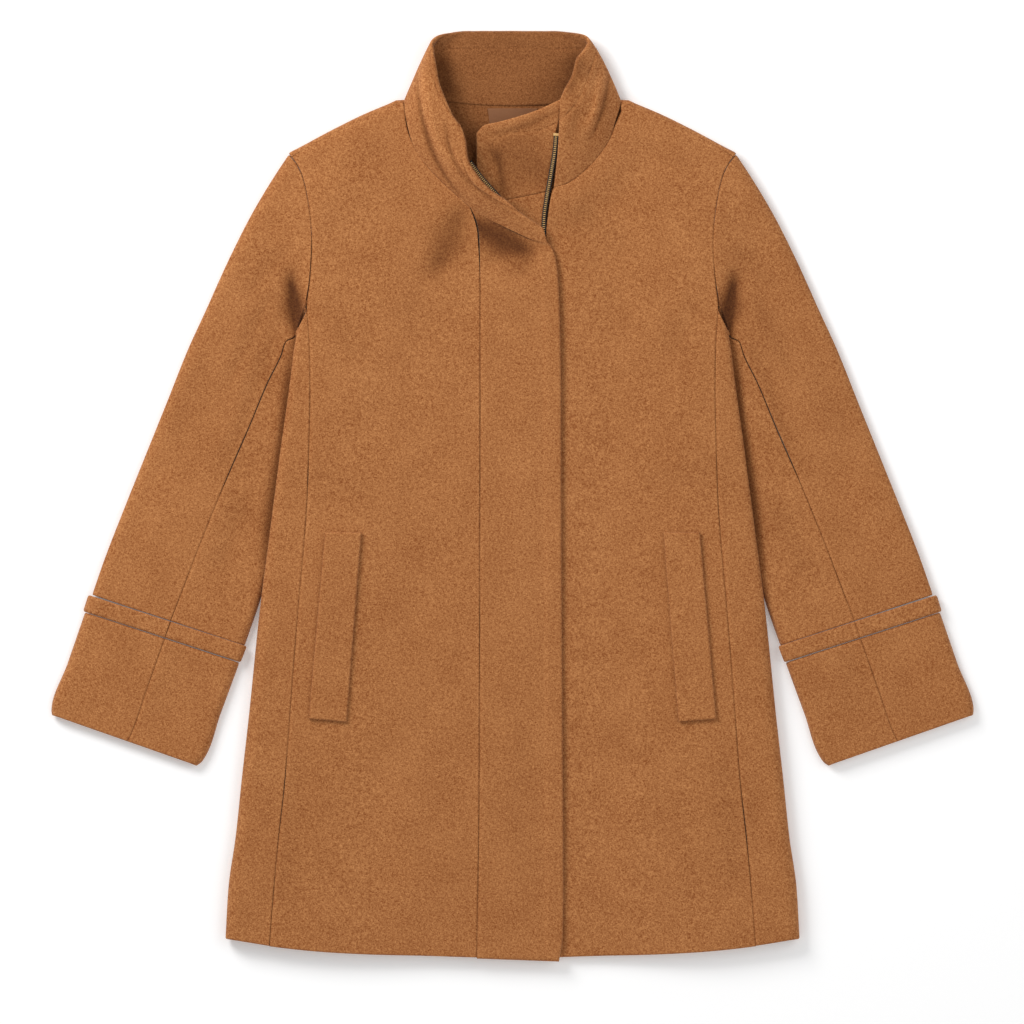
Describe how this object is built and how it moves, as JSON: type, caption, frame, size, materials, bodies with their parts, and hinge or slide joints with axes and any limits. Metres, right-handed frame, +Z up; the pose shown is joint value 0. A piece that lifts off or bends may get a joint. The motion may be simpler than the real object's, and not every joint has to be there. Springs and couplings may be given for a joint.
{
  "type": "wool coat",
  "caption": "Wool coat with a stand-up collar, zip under a fly placket, welt pockets and banded cuffs, laid flat on its back.",
  "frame": {"origin": "middle of the bounding box on the surface the coat lies on", "axes": "+Z up out of the surface through the coat's front, +Y towards the collar, +X towards the wearer's left"},
  "size_m": [0.9222, 0.9303, 0.037],
  "materials": {
    "melton": "felted wool melton, heathered",
    "inside": "felted wool melton, inner side",
    "label": "smooth woven satin, bare",
    "zip": "woven zip tape"
  },
  "bodies": {
    "root": {"back": "melton", "placket": "melton", "zip_guard": "melton", "guard_collar": "melton", "neck_facing": "inside", "neck_label": "label", "front_right": "melton", "front_left": "melton", "side_right": "melton", "side_left": "melton", "pocket_welt_right": "melton", "pocket_welt_left": "melton", "top_sleeve_right": "melton", "top_sleeve_left": "melton", "under_sleeve_right": "melton", "under_sleeve_left": "melton", "cuff_band_outer_right": "melton", "cuff_band_outer_left": "melton", "cuff_band_inner_right": "melton", "cuff_band_inner_left": "melton", "cuff_outer_right": "melton", "cuff_outer_left": "melton", "cuff_inner_right": "melton", "cuff_inner_left": "melton", "collar_right": "melton", "collar_left": "melton", "inner_collar": "inside", "zip_left": "zip", "zip_right": "zip"}
  },
  "joints": []
}
